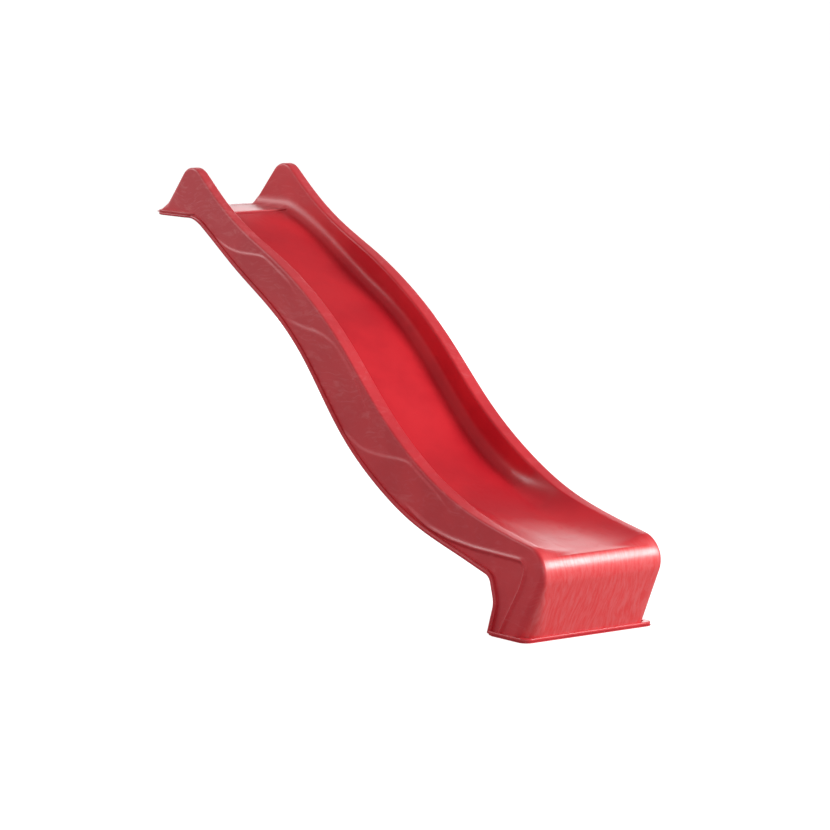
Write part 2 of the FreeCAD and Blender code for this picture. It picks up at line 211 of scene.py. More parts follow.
@dataclass(frozen=True)
class SideView:
    """The slide's outline from the side, and the widths that go with it."""

    stations: tuple[float, ...] = (0.1, 0.3, 0.5, 0.7, 0.9, 1.1, 1.3, 1.5, 1.7, 1.9)
    rims: tuple[float, ...] = (1.307, 1.178, 1.087, 0.978, 0.829, 0.645, 0.502, 0.402, 0.342, 0.302)
    beds: tuple[float, ...] = (1.190, 1.096, 0.988, 0.879, 0.712, 0.527, 0.411, 0.348, 0.307, 0.279)
    edges: tuple[float, ...] = (1.167, 1.043, 0.931, 0.780, 0.571, 0.419, 0.317, 0.255)
    rim_widths: tuple[float, ...] = (0.040, 0.041, 0.045, 0.048, 0.049, 0.051, 0.050, 0.046, 0.035, 0.030)
    bed_rounds: tuple[float, ...] = (0.038, 0.038, 0.038, 0.038, 0.040, 0.042, 0.050, 0.120, 0.350, 0.560)
    bed_end: Point = (2.1, 0.255)
    bed_slopes: Point = (-0.12, -0.11)
    ear_heel: Point = (-0.192, 1.206)
    ear_root: Point = (-0.182, 1.206)
    ear_tip: Point = (-0.002, 1.388)
    ear_radii: tuple[float, float] = (0.020, 0.075)
    nose: Point = (2.007, 0.283)
    nose_radius: float = 0.085
    apron_base: Point = (1.9, 0.0)
    chute_start: float = 0.035
    under_corner: Point = (0.045, 1.2)
    under_start: Point = (0.088, 1.1742)
    under_end: Point = (1.6, 0.228)
    under_radius: float = 0.17
    shoulder: Point = (1.725, 0.193)
    waist: Point = (1.754, 0.104)
    foot_rear: Point = (1.724, 0.0)
    foot_radii: tuple[float, float] = (0.05, 0.07)
    fan_start: float = 1.5
    lip_front: float = 0.06
    lip_half: float = 0.232
    lip_corner: float = 0.08
    draft_from: float = 0.3
    foot_half: float = 0.250
    foot_draft: float = 0.04
    wall_half: float = 0.238
    wall_draft: float = 0.028
    wall_rise: float = 1.1
    rim_radius: float = 0.007
    ear_back_radius: float = 0.02
    nose_extra: float = 0.006
    apron_extra: float = 0.058
    apron_rise: float = 0.24

    @staticmethod
    def slope(start: Point, end: Point) -> float:
        """Return the slope from one point to another."""
        return (end[1] - start[1]) / (end[0] - start[0])

    def rim_line(self) -> SmoothLine:
        """Draw the rim between ear and nose.

        Returns:
            The rim as a smooth line.
        """
        first, last = (self.stations[0], self.rims[0]), (self.stations[-1], self.rims[-1])
        start, end = self.slope(self.ear_tip, first), self.slope(last, self.nose)
        return SmoothLine(self.stations, self.rims, start, end)

    def bed_line(self) -> SmoothLine:
        """Return the line of the middle of the bed, which starts level with the lip."""
        xs = (self.chute_start,) + self.stations + (self.bed_end[0],)
        return SmoothLine(xs, (LIP_TOP,) + self.beds + (self.bed_end[1],), *self.bed_slopes)

    def edge_line(self) -> SmoothLine:
        """Draw the lower edge between lip and foot.

        Returns:
            The edge as a smooth line.
        """
        xs = (self.under_start[0],) + self.stations[: len(self.edges)] + (self.under_end[0],)
        zs = (self.under_start[1],) + self.edges + (self.under_end[1],)
        start = self.slope(self.under_corner, self.under_start)
        return SmoothLine(xs, zs, start, self.slope(self.under_end, self.shoulder))

    def top_path(self) -> Array:
        """Trace the upper outline: up the ear, down the rim, over the nose and down the apron.

        Returns:
            Rows of x and z, from the lip to the sole.
        """
        xs = np.arange(self.stations[0], self.stations[-1], SAMPLE)
        rim_start, rim_end = (self.stations[0], self.rims[0]), (self.stations[-1], self.rims[-1])
        ear = rounded([self.ear_heel, self.ear_root, self.ear_tip, rim_start], list(self.ear_radii))
        nose = rounded([rim_end, self.nose, self.apron_base], [self.nose_radius])
        path = np.concatenate([ear[:-1], np.stack([xs, self.rim_line().at(xs)], axis=1), nose])
        rising = (path[:, 0] > 0) | (path[:, 1] > self.ear_root[1] + 0.0006)
        return path[rising & (path[:, 1] >= SOLE_TOP)]

    def bottom_path(self, start_x: float) -> Array:
        """Trace the lower outline to the rear of the foot.

        Args:
            start_x: Where on the lip it starts.

        Returns:
            Rows of x and z, from the lip to the sole.
        """
        xs = np.arange(self.under_start[0], self.under_end[0], SAMPLE)
        lip = rounded([(start_x, LIP_BOTTOM), self.under_corner, self.under_start], [self.under_radius])
        under = np.stack([xs, self.edge_line().at(xs)], axis=1)
        foot = rounded([self.under_end, self.shoulder, self.waist, self.foot_rear], list(self.foot_radii))
        path = np.concatenate([lip[:-1], under, foot])
        return path[path[:, 1] >= SOLE_TOP]

    def inset_directions(self, path: Array) -> Array:
        """Return the directions in which the walls run in from the upper outline.

        They are square to the outline, and level at the ground, where the walls end flat.

        Args:
            path: The outline as rows of x and z.

        Returns:
            One unit vector for each row.
        """
        level = smoothstep(0.16, SOLE_TOP, path[:, 1])[:, None]
        mixed = inward_normals(path) * (1 - level) + np.array([-1.0, 0.0]) * level
        return mixed / np.linalg.norm(mixed, axis=1)[:, None]

    def lip_breadth(self, x: Array) -> Array:
        """Return the lip's half breadth, inside its rounded corners.

        Args:
            x: Places along the lip.

        Returns:
            The half breadth at each.
        """
        over = np.maximum(LIP_REAR + self.lip_corner - x, x - self.lip_front + self.lip_corner)
        over = np.clip(over, 0, self.lip_corner)
        return self.lip_half - self.lip_corner + np.sqrt(self.lip_corner**2 - over**2)

    def rim_height(self, x: Array) -> Array:
        """Return the height that sets the inner width at x."""
        return self.rim_line().at(np.clip(x, self.stations[0], self.stations[-1]))

    def bed_height(self, x: Array) -> Array:
        """Return the height of the middle of the bed at x."""
        return np.where(x <= self.chute_start, LIP_TOP, self.bed_line().at(x))

    def half_width(self, z: Array) -> Array:
        """Return the outer half width at height z: the walls draft inwards upwards."""
        wall = self.wall_half - self.wall_draft * (z - self.draft_from) / self.wall_rise
        return np.where(z < self.draft_from, self.foot_half - self.foot_draft * z, wall)

    def edge_radius(self, path: Array) -> Array:
        """Return the radius of the outer edge along the upper outline.

        It is wide at the back of the ears, small on the rims, and opens out down the apron.

        Args:
            path: The outline as rows of x and z.

        Returns:
            One radius for each row.
        """
        x, z = path[:, 0], path[:, 1]
        behind = smoothstep(0.0, -0.17, x) * self.ear_back_radius
        down = np.where(x > 1.8, np.clip((self.apron_rise - z) / self.apron_rise, 0, 1), 0)
        nose = smoothstep(1.86, 1.96, x) * self.nose_extra
        radius = self.rim_radius + behind + nose + self.apron_extra * down**1.25
        room = np.where(x < 0, 0.8 * (z - LIP_BOTTOM - SKIN), 1.0)
        return np.minimum(radius, room)


def column_steps(path: Array, coarse: float, fine: float) -> Array:
    """Choose the spacing of the columns: fine round the ear and the nose, else coarse.

    Args:
        path: The outline as rows of x and z.
        coarse: The spacing on the long run.
        fine: The spacing where the outline turns.

    Returns:
        One spacing for each row.
    """
    x, z = path[:, 0], path[:, 1]
    ear = smoothstep(0.16, 0.06, x)
    nose = smoothstep(1.84, 1.92, x) * smoothstep(0.1, 0.17, z)
    return coarse + (fine - coarse) * np.maximum(ear, nose)


def deselect() -> None:
    """Leave object mode's selection empty."""
    if bpy.context.object and bpy.context.object.mode != "OBJECT":
        bpy.ops.object.mode_set(mode="OBJECT")
    bpy.ops.object.select_all(action="DESELECT")


def vertices(piece: bpy.types.Object) -> Array:
    """Return a mesh's vertices.

    Args:
        piece: The object that holds the mesh.

    Returns:
        Rows of x, y and z.
    """
    flat = np.zeros(len(piece.data.vertices) * 3, np.float32)
    piece.data.vertices.foreach_get("co", flat)
    return flat.reshape(-1, 3)


def woven_grid(name: str, points: Array) -> bpy.types.Object:
    """Add a grid and lay its knots on the points of a surface.

    Args:
        name: The new object's name.
        points: The surface as columns x rows x 3 numbers, in the frame's metres.

    Returns:
        The new object, active, selected, in object mode.
    """
    deselect()
    columns, rows = points.shape[:2]
    bpy.ops.mesh.primitive_grid_add(x_subdivisions=columns - 1, y_subdivisions=rows - 1, size=1.0)
    piece = bpy.context.object
    piece.name = piece.data.name = name
    flat = vertices(piece)
    column = np.rint((flat[:, 0] + 0.5) * (columns - 1)).astype(int)
    row = np.rint((flat[:, 1] + 0.5) * (rows - 1)).astype(int)
    piece.data.vertices.foreach_set("co", points[column, row].astype(np.float32).ravel())
    piece.data.update()
    return piece


def turn_outwards(piece: bpy.types.Object, outward: Vector, near: float = 0.0) -> None:
    """Flip an open surface if its faces look away from a direction on the whole.

    Args:
        piece: The active object.
        outward: The direction that most faces should look in.
        near: Faces whose middles are at least this far along outward are counted.
    """
    faces = [face for face in piece.data.polygons if face.center.dot(outward) >= near]
    if sum(face.normal.dot(outward) * face.area for face in faces) < 0:
        bpy.ops.object.mode_set(mode="EDIT")
        bpy.ops.mesh.select_all(action="SELECT")
        bpy.ops.mesh.flip_normals()
        bpy.ops.object.mode_set(mode="OBJECT")


def apply_modifiers(piece: bpy.types.Object) -> None:
    """Apply every modifier of the active object."""
    for modifier in list(piece.modifiers):
        bpy.ops.object.modifier_apply(modifier=modifier.name)


def settle(piece: bpy.types.Object, angle: float = 40.0) -> None:
    """Put a finished piece's place into its mesh and smooth its shading.

    Args:
        piece: The piece.
        angle: The angle in degrees above which an edge stays sharp.
    """
    deselect()
    piece.select_set(True)
    bpy.context.view_layer.objects.active = piece
    bpy.ops.object.transform_apply(location=True, rotation=True, scale=True)
    bpy.ops.object.shade_smooth_by_angle(angle=math.radians(angle))


def paint(piece: bpy.types.Object, name: str, values: Array) -> None:
    """Store one number for each vertex, for a material to read."""
    layer = piece.data.attributes.new(name, "FLOAT", "POINT")
    layer.data.foreach_set("value", np.asarray(values, np.float32))


class Nodes:
    """A short way to write a node tree."""

    def __init__(self, tree: bpy.types.NodeTree) -> None:
        """Start from an empty tree."""
        self.tree = tree
        tree.nodes.clear()

    def add(self, kind: str, inputs: dict | None = None, **settings: object) -> bpy.types.Node:
        """Add a node.

        Args:
            kind: The node's type, without its ShaderNode prefix.
            inputs: Values or sockets for its inputs, by name or number.
            settings: Its properties.

        Returns:
            The new node.
        """
        prefix = "" if kind.startswith("Node") else "ShaderNode"
        node = self.tree.nodes.new(prefix + kind)
        for name, value in settings.items():
            setattr(node, name, value)
        for name, value in (inputs or {}).items():
            if isinstance(value, bpy.types.NodeSocket):
                self.tree.links.new(value, node.inputs[name])
            else:
                node.inputs[name].default_value = value
        return node

    def maths(self, operation: str, first: object, second: object = 0.0) -> bpy.types.NodeSocket:
        """Return the result of a sum on two numbers or sockets."""
        return self.add("Math", {0: first, 1: second}, operation=operation).outputs[0]

    def blend(self, share: object, low: object, high: object) -> bpy.types.NodeSocket:
        """Return a colour mixed from low to high by a share."""
        return self.add("Mix", {0: share, 6: low, 7: high}, data_type="RGBA").outputs[2]

    def ramp(
        self, value: object, low: float, high: float, bottom: object = 0.0, top: object = 1.0
    ) -> bpy.types.NodeSocket:
        """Return value mapped smoothly from low..high to bottom..top."""
        inputs = {0: value, 1: low, 2: high, 3: bottom, 4: top}
        return self.add("MapRange", inputs, interpolation_type="SMOOTHSTEP").outputs[0]


def slab(name: str, middle: Place, size: Place) -> bpy.types.Object:
    """Add a plate, with its place and size in its mesh.

    Args:
        name: The new object's name.
        middle: The middle of the plate.
        size: Its length, breadth and thickness.

    Returns:
        The new object, active, in object mode.
    """
    deselect()
    bpy.ops.mesh.primitive_cube_add(size=1.0, location=middle)
    piece = bpy.context.object
    piece.name = piece.data.name = name
    piece.scale = size
    bpy.ops.object.transform_apply(location=True, scale=True)
    return piece


def clear_marks(kind: str) -> None:
    """Leave nothing selected in the active mesh.

    Args:
        kind: What is selected next: EDGE or FACE.
    """
    bpy.ops.object.mode_set(mode="EDIT")
    bpy.ops.mesh.select_mode(type=kind)
    bpy.ops.mesh.select_all(action="DESELECT")
    bpy.ops.object.mode_set(mode="OBJECT")


def bevel_corners(
    piece: bpy.types.Object, radius: float, segments: int, wanted: Callable[[float], bool] = lambda x: True
) -> None:
    """Round the upright edges of a plate.

    Args:
        piece: The active plate.
        radius: The radius of its corners.
        segments: The number of flats in each.
        wanted: Says by x whether a corner is rounded.
    """
    clear_marks("EDGE")
    for edge in piece.data.edges:
        first, last = (piece.data.vertices[number].co for number in edge.vertices)
        upright = (first - last).normalized()
        edge.select = abs(upright.z) > 0.9 and bool(wanted(first.x))
    bpy.ops.object.mode_set(mode="EDIT")
    bpy.ops.mesh.bevel(offset=radius, segments=segments, affect="EDGES")
    bpy.ops.object.mode_set(mode="OBJECT")


def soften(piece: bpy.types.Object, radius: float, segments: int) -> None:
    """Round every sharp edge of the active piece.

    Args:
        piece: The piece.
        radius: The radius of its edges.
        segments: The number of flats in each.
    """
    edge = piece.modifiers.new("edge", "BEVEL")
    edge.width = radius
    edge.segments = segments
    edge.limit_method = "ANGLE"
    apply_modifiers(piece)


def moulding_marks_group() -> bpy.types.NodeTree:
    """Return the shared group that makes the marks that a mould leaves on polyethylene.

    Returns:
        The group. Its outputs are wisps of haze, streaks drawn down the apron, broad blotches, and
        the height of the fine skin texture.
    """
    tree = bpy.data.node_groups.get("moulding_marks")
    if tree:
        return tree
    tree = bpy.data.node_groups.new("moulding_marks", "ShaderNodeTree")
    nodes = Nodes(tree)
    tree.interface.new_socket("Vector", in_out="INPUT", socket_type="NodeSocketVector")
    for name in ("Wisps", "Streaks", "Blotches", "Height"):
        tree.interface.new_socket(name, in_out="OUTPUT", socket_type="NodeSocketFloat")
    place = nodes.add("NodeGroupInput").outputs["Vector"]

    drift = nodes.add("TexNoise", {"Vector": place, "Scale": 3.1, "Detail": 2.0})
    pushed = nodes.add("VectorMath", {0: drift.outputs["Color"], 1: (0.16, 0.16, 0.16)}, operation="MULTIPLY")
    carried = nodes.add("VectorMath", {0: place, 1: pushed.outputs[0]}, operation="ADD").outputs[0]
    brushed = nodes.add(
        "Mapping", {"Vector": carried, "Rotation": (0.0, 0.72, 0.0), "Scale": (13.0, 20.0, 50.0)}
    )
    fine = nodes.add(
        "TexNoise",
        {"Vector": brushed.outputs[0], "Scale": 1.0, "Detail": 7.0, "Roughness": 0.66, "Distortion": 1.3},
    )
    patches = nodes.add("TexNoise", {"Vector": carried, "Scale": 7.0, "Detail": 3.0})
    strokes = nodes.ramp(fine.outputs[0], 0.47, 0.74)
    wisps = nodes.maths("MULTIPLY", strokes, nodes.ramp(patches.outputs[0], 0.34, 0.66, 0.25, 1.0))

    drawn = nodes.add(
        "Mapping", {"Vector": carried, "Rotation": (0.12, 0.0, 0.0), "Scale": (10.0, 70.0, 10.0)}
    )
    lines = nodes.add(
        "TexNoise",
        {"Vector": drawn.outputs[0], "Scale": 1.6, "Detail": 6.0, "Roughness": 0.7, "Distortion": 0.4},
    )
    blotches = nodes.add("TexNoise", {"Vector": place, "Scale": 4.3, "Detail": 4.0, "Roughness": 0.55})
    grit = nodes.add("TexNoise", {"Vector": place, "Scale": 260.0, "Detail": 3.0, "Roughness": 0.6})
    waves = nodes.add("TexNoise", {"Vector": place, "Scale": 22.0, "Detail": 2.0})
    height = nodes.maths("ADD", nodes.maths("MULTIPLY", grit.outputs[0], 0.25), waves.outputs[0])
    nodes.add(
        "NodeGroupOutput",
        {
            "Wisps": wisps,
            "Streaks": nodes.ramp(lines.outputs[0], 0.36, 0.68),
            "Blotches": nodes.ramp(blotches.outputs[0], 0.35, 0.65),
            "Height": height,
        },
    )
    return tree


@dataclass(frozen=True)
class RedMoulding:
    """The finish of the red polyethylene: deep red, with haze where the mould was dull."""

    name: str
    red: Colour = (0.560, 0.013, 0.022, 1.0)
    dark_red: Colour = (0.480, 0.009, 0.018, 1.0)
    haze: Colour = (0.56, 0.075, 0.085, 1.0)
    chalk: Colour = (0.72, 0.26, 0.27, 1.0)
    warm: Colour = (0.66, 0.050, 0.052, 1.0)
    gloss_roughness: float = 0.30
    haze_roughness: float = 0.42
    even_haze: float = 0.0
    film: float = 0.52
    wisps: float = 0.42
    streaks: float = 0.30
    grain: float = 0.85
    blotch_roughness: float = 0.06
    wisp_roughness: float = 0.10
    bump: float = 0.10
    bump_depth: float = 0.002

    def material(self) -> bpy.types.Material:
        """Build the finish.

        Returns:
            The new material.
        """
        material = bpy.data.materials.new(self.name)
        material.use_nodes = True
        nodes = Nodes(material.node_tree)
        place = nodes.add("TexCoord").outputs["Object"]
        marks = nodes.add("Group", node_tree=moulding_marks_group())
        nodes.tree.links.new(place, marks.inputs["Vector"])
        haze_here = nodes.add("Attribute", attribute_name=HAZE).outputs["Fac"]
        haze_here = nodes.maths("MAXIMUM", haze_here, self.even_haze)
        grain_here = nodes.add("Attribute", attribute_name=GRAIN).outputs["Fac"]
        wisps, streaks = marks.outputs["Wisps"], marks.outputs["Streaks"]

        body = nodes.blend(marks.outputs["Blotches"], self.dark_red, self.red)
        film = nodes.maths("MULTIPLY", haze_here, self.film)
        filmed = nodes.blend(film, body, self.haze)
        wisp_share = nodes.maths("MULTIPLY", nodes.maths("MULTIPLY", wisps, haze_here), self.wisps)
        marked = nodes.blend(wisp_share, filmed, self.chalk)
        drawn = nodes.blend(nodes.maths("MULTIPLY", streaks, self.streaks), self.warm, self.chalk)
        colour = nodes.blend(nodes.maths("MULTIPLY", grain_here, self.grain), marked, drawn)

        rough = nodes.ramp(haze_here, 0.0, 1.0, self.gloss_roughness, self.haze_roughness)
        blotchy = nodes.maths("MULTIPLY", marks.outputs["Blotches"], self.blotch_roughness)
        rough = nodes.maths("ADD", rough, blotchy)
        rough = nodes.maths("ADD", rough, nodes.maths("MULTIPLY", wisps, self.wisp_roughness))
        skin = {"Height": marks.outputs["Height"], "Strength": self.bump, "Distance": self.bump_depth}
        relief = nodes.add("Bump", skin)
        shader = nodes.add(
            "BsdfPrincipled",
            {
                "Base Color": colour,
                "Roughness": rough,
                "Normal": relief.outputs[0],
                "Specular IOR Level": 0.5,
            },
        )
        nodes.add("OutputMaterial", {"Surface": shader.outputs[0]})
        return material


@dataclass(frozen=True)
class PlugPlastic:
    """The finish of the press-in plugs: black, matt and a little dusty."""

    name: str = "plug_plastic"
    black: Colour = (0.022, 0.022, 0.024, 1.0)
    dust: Colour = (0.075, 0.070, 0.066, 1.0)

    def material(self) -> bpy.types.Material:
        """Build the finish.

        Returns:
            The new material.
        """
        material = bpy.data.materials.new(self.name)
        material.use_nodes = True
        nodes = Nodes(material.node_tree)
        marks = nodes.add("Group", node_tree=moulding_marks_group())
        nodes.tree.links.new(nodes.add("TexCoord").outputs["Object"], marks.inputs["Vector"])
        colour = nodes.blend(marks.outputs["Wisps"], self.black, self.dust)
        rough = nodes.ramp(marks.outputs["Blotches"], 0.0, 1.0, 0.5, 0.7)
        relief = nodes.add("Bump", {"Height": marks.outputs["Height"], "Strength": 0.15, "Distance": 0.001})
        shader = nodes.add(
            "BsdfPrincipled", {"Base Color": colour, "Roughness": rough, "Normal": relief.outputs[0]}
        )
        nodes.add("OutputMaterial", {"Surface": shader.outputs[0]})
        return material


@dataclass(frozen=True)
class FloorPaint:
    """The finish of the pale studio floor, which glows for the camera alone."""

    name: str = "studio_floor"
    glow: Colour = (0.92, 0.92, 0.92, 1.0)
    pale: Colour = (0.33, 0.33, 0.33, 1.0)
    grey: Colour = (0.30, 0.30, 0.30, 1.0)

    def material(self) -> bpy.types.Material:
        """Build the finish.

        Returns:
            The new material.
        """
        material = bpy.data.materials.new(self.name)
        material.use_nodes = True
        nodes = Nodes(material.node_tree)
        noise = nodes.add("TexNoise", {"Scale": 2.0, "Detail": 3.0})
        colour = nodes.blend(noise.outputs[0], self.grey, self.pale)
        seen = nodes.add("LightPath").outputs["Is Camera Ray"]
        shader = nodes.add(
            "BsdfPrincipled",
            {
                "Base Color": colour,
                "Roughness": 0.9,
                "Specular IOR Level": 0.1,
                "Emission Color": self.glow,
                "Emission Strength": seen,
            },
        )
        nodes.add("OutputMaterial", {"Surface": shader.outputs[0]})
        return material


@dataclass(frozen=True)
class BeadSection:
    """The section of the weld bead: a bar with four round edges, thinner where it is the lip's flange."""

    low: float = -0.0006
    low_on_lip: float = 0.0008
    high: float = 0.0122
    high_on_lip: float = -0.0030
    edge: float = 0.0042
    proud: float = 0.0085
    lip_proud: float = 0.0008
    sunk: float = 0.003
    least: float = 0.012
    lip_end: float = 0.075
    edge_steps: int = 5
    start_gap: float = 0.006
    merge: float = 0.00002

    def directions(self) -> list[Point]:
        """Fan out round the four edges.

        Returns:
            The outward directions, across and up, closed on the first.
        """
        quarters, steps = range(4), range(self.edge_steps + 1)
        turns = [quarter + step / self.edge_steps for quarter in quarters for step in steps]
        spokes = [(math.cos(math.pi / 2 * turn), math.sin(math.pi / 2 * turn)) for turn in turns]
        return spokes + spokes[:1]

    def ring(self, view: SideView, path: Array) -> list[Array]:
        """Lay the section round the lower outline.

        Args:
            view: The slide's side view.
            path: The lower outline as rows of x and z.

        Returns:
            For each corner of the section, rows of x, y and z, on the side where y is positive.
        """
        normals, x = inward_normals(path), path[:, 0]
        on_lip = smoothstep(self.lip_end, 0.0, x)
        low = self.low + self.low_on_lip * on_lip
        high = self.high + self.high_on_lip * on_lip
        breadth = view.lip_breadth(x)
        ring = []
        for across, up in self.directions():
            upper = up > 0 or (up == 0 and across < 0)
            deep = (high - self.edge if upper else low + self.edge) + self.edge * up
            spot = path + normals * deep[:, None]
            wall = view.half_width(spot[:, 1])
            outer = np.where(x < -0.1, breadth + self.lip_proud, np.maximum(breadth, wall + self.proud))
            inner = np.minimum(wall - self.sunk, outer - self.least)
            outermost = across > 0 or (across == 0 and up < 0)
            out = (outer - self.edge if outermost else inner + self.edge) + self.edge * across
            ring.append(np.stack([spot[:, 0], out, spot[:, 1]], axis=1))
        return ring


@dataclass
class Moulding:
    """The upper sheet of the slide, made as a chute skin, two side panels and their trims."""

    view: SideView
    shift: float
    red: bpy.types.Material
    skirt: float = 0.008
    inner_radius: float = 0.009
    flat_from: float = 1.50
    flat_to: float = 1.93
    dish_round: float = 0.0015
    close_share: float = 0.3
    rim_haze: float = 0.95
    wall_haze: float = 0.8
    trim_haze: float = 0.35
    panel_rows: int = 60
    crest_margin: float = 0.06
    edge_gap: float = 0.0005
    lip_gap: float = 0.0002
    lip_edge: float = 0.0016
    flange_top: float = 0.014
    flange_out: float = 0.0118
    flange_width: float = 0.022
    flange_corner: float = 0.030
    flange_edge: float = 0.003

    def finish(self, piece: bpy.types.Object, angle: float = 40.0) -> bpy.types.Object:
        """Dress a piece of the upper sheet, let it stand for the CAD node and report it.

        Args:
            piece: The piece.
            angle: The angle in degrees above which its edges stay sharp.

        Returns:
            The same piece.
        """
        settle(piece, angle)
        piece.data.materials.clear()
        piece.data.materials.append(self.red)
        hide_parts("chute_shell")
        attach(piece, "root")
        LOG.info("%s: %d faces", piece.name, len(piece.data.polygons))
        return piece

    def half_section(self, at: Point, normal: Point, radius: float) -> Array:
        """Return one half of the chute's section, from the skirt to the middle of the bed.

        Args:
            at: The point of the upper outline, x and z.
            normal: The outline's inward normal there.
            radius: The radius of the outer edge there.

        Returns:
            Rows of x, y and z, on the side where y is positive.
        """
        profile, dish = self.inner_profile(at, radius)
        return np.array(self.outer_rows(at, normal, radius) + self.flattened(at, radius, profile, dish))

    def skirt_depth(self, x: Array, z: Array) -> Array:
        """Return how deep the skirt hangs below the outer edge, which is less close to the lip."""
        room = self.close_share * (z - LIP_BOTTOM - SKIN)
        return np.where(x < 0, np.minimum(self.skirt, room), self.skirt)

    def outer_rows(self, at: Point, normal: Point, radius: float) -> list[Place]:
        """Return the rows of the skirt and of the rounded outer edge.

        Args:
            at: The point of the upper outline, x and z.
            normal: The outline's inward normal there.
            radius: The radius of the outer edge there.

        Returns:
            The rows as x, y and z.
        """
        (x, z), skirt = at, float(self.skirt_depth(*at))
        depths = [radius + skirt * (1 - step / Band.SKIRT.value) for step in range(Band.SKIRT.value)]
        tucks = [0.0] * Band.SKIRT.value
        for step in range(Band.OUTER_EDGE.value + 1):
            angle = math.pi / 2 * step / Band.OUTER_EDGE.value
            depths.append(radius * (1 - math.sin(angle)))
            tucks.append(radius * (1 - math.cos(angle)))
        rows = []
        for depth, tuck in zip(depths, tucks):
            height = z + normal[1] * depth
            rows.append((x + normal[0] * depth, float(self.view.half_width(height)) - tuck, height))
        return rows

    def inner_profile(self, at: Point, radius: float) -> tuple[list[Point], Point]:
        """Return the rows across the rim, down the inner wall and over half of the bed.

        Args:
            at: The point of the upper outline, x and z.
            radius: The radius of the outer edge there.

        Returns:
            The rows as half breadth and depth below the rim, and the bed's arc as the half breadth
            at which it starts and its radius.
        """
        view, (x, z) = self.view, at
        half = float(view.half_width(z))
        hold = min(x, view.stations[-1])
        bed = float(view.bed_height(x))
        rim_width = float(np.interp(hold, view.stations, view.rim_widths))
        inner = float(view.half_width(view.rim_height(x))) - rim_width
        bend = float(np.interp(hold, view.stations, view.bed_rounds))
        depth = max(z - bed, 0.0)
        walled = bend <= depth
        swing = math.pi / 2 if walled else math.acos(1 - depth / bend)
        middle = inner - bend if walled else inner - math.sqrt(bend**2 - (bend - depth) ** 2)
        edge = min(self.inner_radius, self.close_share * depth)
        start = inner + edge * math.tan(swing / 2)
        profile: list[Point] = []
        for step in range(1, Band.RIM.value + 1):
            profile.append((half - radius + (start - half + radius) * step / Band.RIM.value, 0.0))
        for step in range(1, Band.INNER_EDGE.value + 1):
            angle = swing * step / Band.INNER_EDGE.value
            profile.append((start - edge * math.sin(angle), edge * (1 - math.cos(angle))))
        entered = profile[-1][1]
        straight = max(depth - bend - entered, 0.0)
        bent = swing if walled else math.acos(max(min(1 - (depth - entered) / bend, 1.0), -1.0))
        whole = straight + bend * bent
        for step in range(1, Band.WALL.value + 1):
            run = whole * step / Band.WALL.value
            if run < straight:
                profile.append((inner, entered + run))
            else:
                angle = bent - (run - straight) / bend
                profile.append((middle + bend * math.sin(angle), depth - bend * (1 - math.cos(angle))))
        for step in range(1, Band.BED.value + 1):
            profile.append((middle * (1 - step / Band.BED.value), depth))
        return profile, (middle, bend)

    def flattened(self, at: Point, radius: float, profile: list[Point], dish: Point) -> list[Place]:
        """Spread the inner rows towards the nose, where the dish runs out over a soft lip.

        Args:
            at: The point of the upper outline.
            radius: The radius of the outer edge there.
            profile: The inner rows as half breadth and depth below the rim.
            dish: Where the bed's arc starts, and its radius.

        Returns:
            The inner rows as x, y and z.
        """
        x, z = at
        if z < self.view.nose[1] - 0.1:
            x_share = 1.0
        else:
            x_share = float(smoothstep(self.flat_from, self.flat_to, np.array(x)))
        level = float(smoothstep(self.flat_from - 0.1, self.flat_from + 0.1, np.array(x)))
        outer = float(self.view.half_width(z)) - radius
        rows = []
        for number, (breadth, depth) in enumerate(profile, start=1):
            spread = outer * (1 - number / len(profile))
            y = breadth + (spread - breadth) * x_share
            if level > 0:
                reach = min(max(y - dish[0], 0.0), 0.97 * dish[1])
                rise = dish[1] - math.sqrt(dish[1] ** 2 - reach**2)
                below = z - float(self.view.bed_height(x)) - rise
                soft = 0.5 * (below + math.hypot(below, self.dish_round))
                depth = depth + (soft - depth) * level
            rows.append((x, y, z - depth))
        return rows

    @staticmethod
    def worn(x: Array) -> Array:
        """Return how hazed the outer walls are at x: most at the ears, least towards the foot."""
        return 1.0 - 0.6 * smoothstep(-0.1, 1.5, x)

    def chute_skin(self) -> bpy.types.Object:
        """Model the bed, walls, rims, ears, nose and apron as one skin.

        Returns:
            The finished piece.
        """
        path = self.view.top_path()
        path = resample(path, column_steps(path, 0.011, 0.005))
        normals, radii = self.view.inset_directions(path), self.view.edge_radius(path)
        halves = np.array([self.half_section(tuple(a), tuple(n), r) for a, n, r in zip(path, normals, radii)])
        mirrored = halves[:, -2::-1] * np.array([1, -1, 1])
        points = np.concatenate([halves, mirrored], axis=1)
        points[..., 0] += self.shift
        piece = woven_grid("chute_skin", points)
        turn_outwards(piece, Vector((0, 0, 1)), near=0.3)
        skin = piece.modifiers.new("skin", "SOLIDIFY")
        skin.thickness = SKIN
        skin.offset = -1
        apply_modifiers(piece)
        self.paint_chute(piece)
        return self.finish(piece, 60.0)

